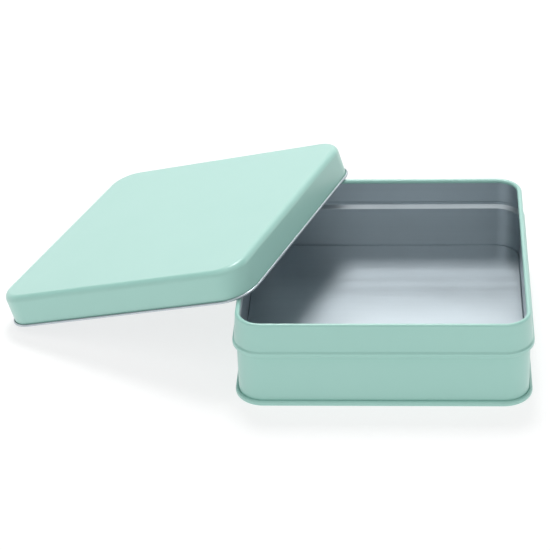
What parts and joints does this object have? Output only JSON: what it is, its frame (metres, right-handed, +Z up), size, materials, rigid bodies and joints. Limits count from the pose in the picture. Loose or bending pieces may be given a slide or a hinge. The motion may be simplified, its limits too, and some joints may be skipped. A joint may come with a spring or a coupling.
{
  "type": "candy tin",
  "caption": "Square slip-lid sheet-metal tin, open and empty, with a curled rim, a lid-stop ridge and a rolled bottom seam, its lid leaning on the rim.",
  "frame": {"origin": "middle of the tin's underside, at the height of the surface it stands on", "axes": "+Z up, square to the tin's four sides; the lid leans over the tin's -X side, turned towards its +Y side"},
  "size_m": [0.2767, 0.2063, 0.0652],
  "materials": {
    "mint_paint": "satin mint coating outside, bare tinplate inside",
    "bare_tinplate": "bare rolled tinplate inside, satin mint seam outside",
    "mint_paint_lid": "satin mint coating on top and sides, bare curled hem and underside"
  },
  "bodies": {
    "root": {"wall": "mint_paint", "bottom": "bare_tinplate", "lid": "mint_paint_lid"}
  },
  "joints": []
}
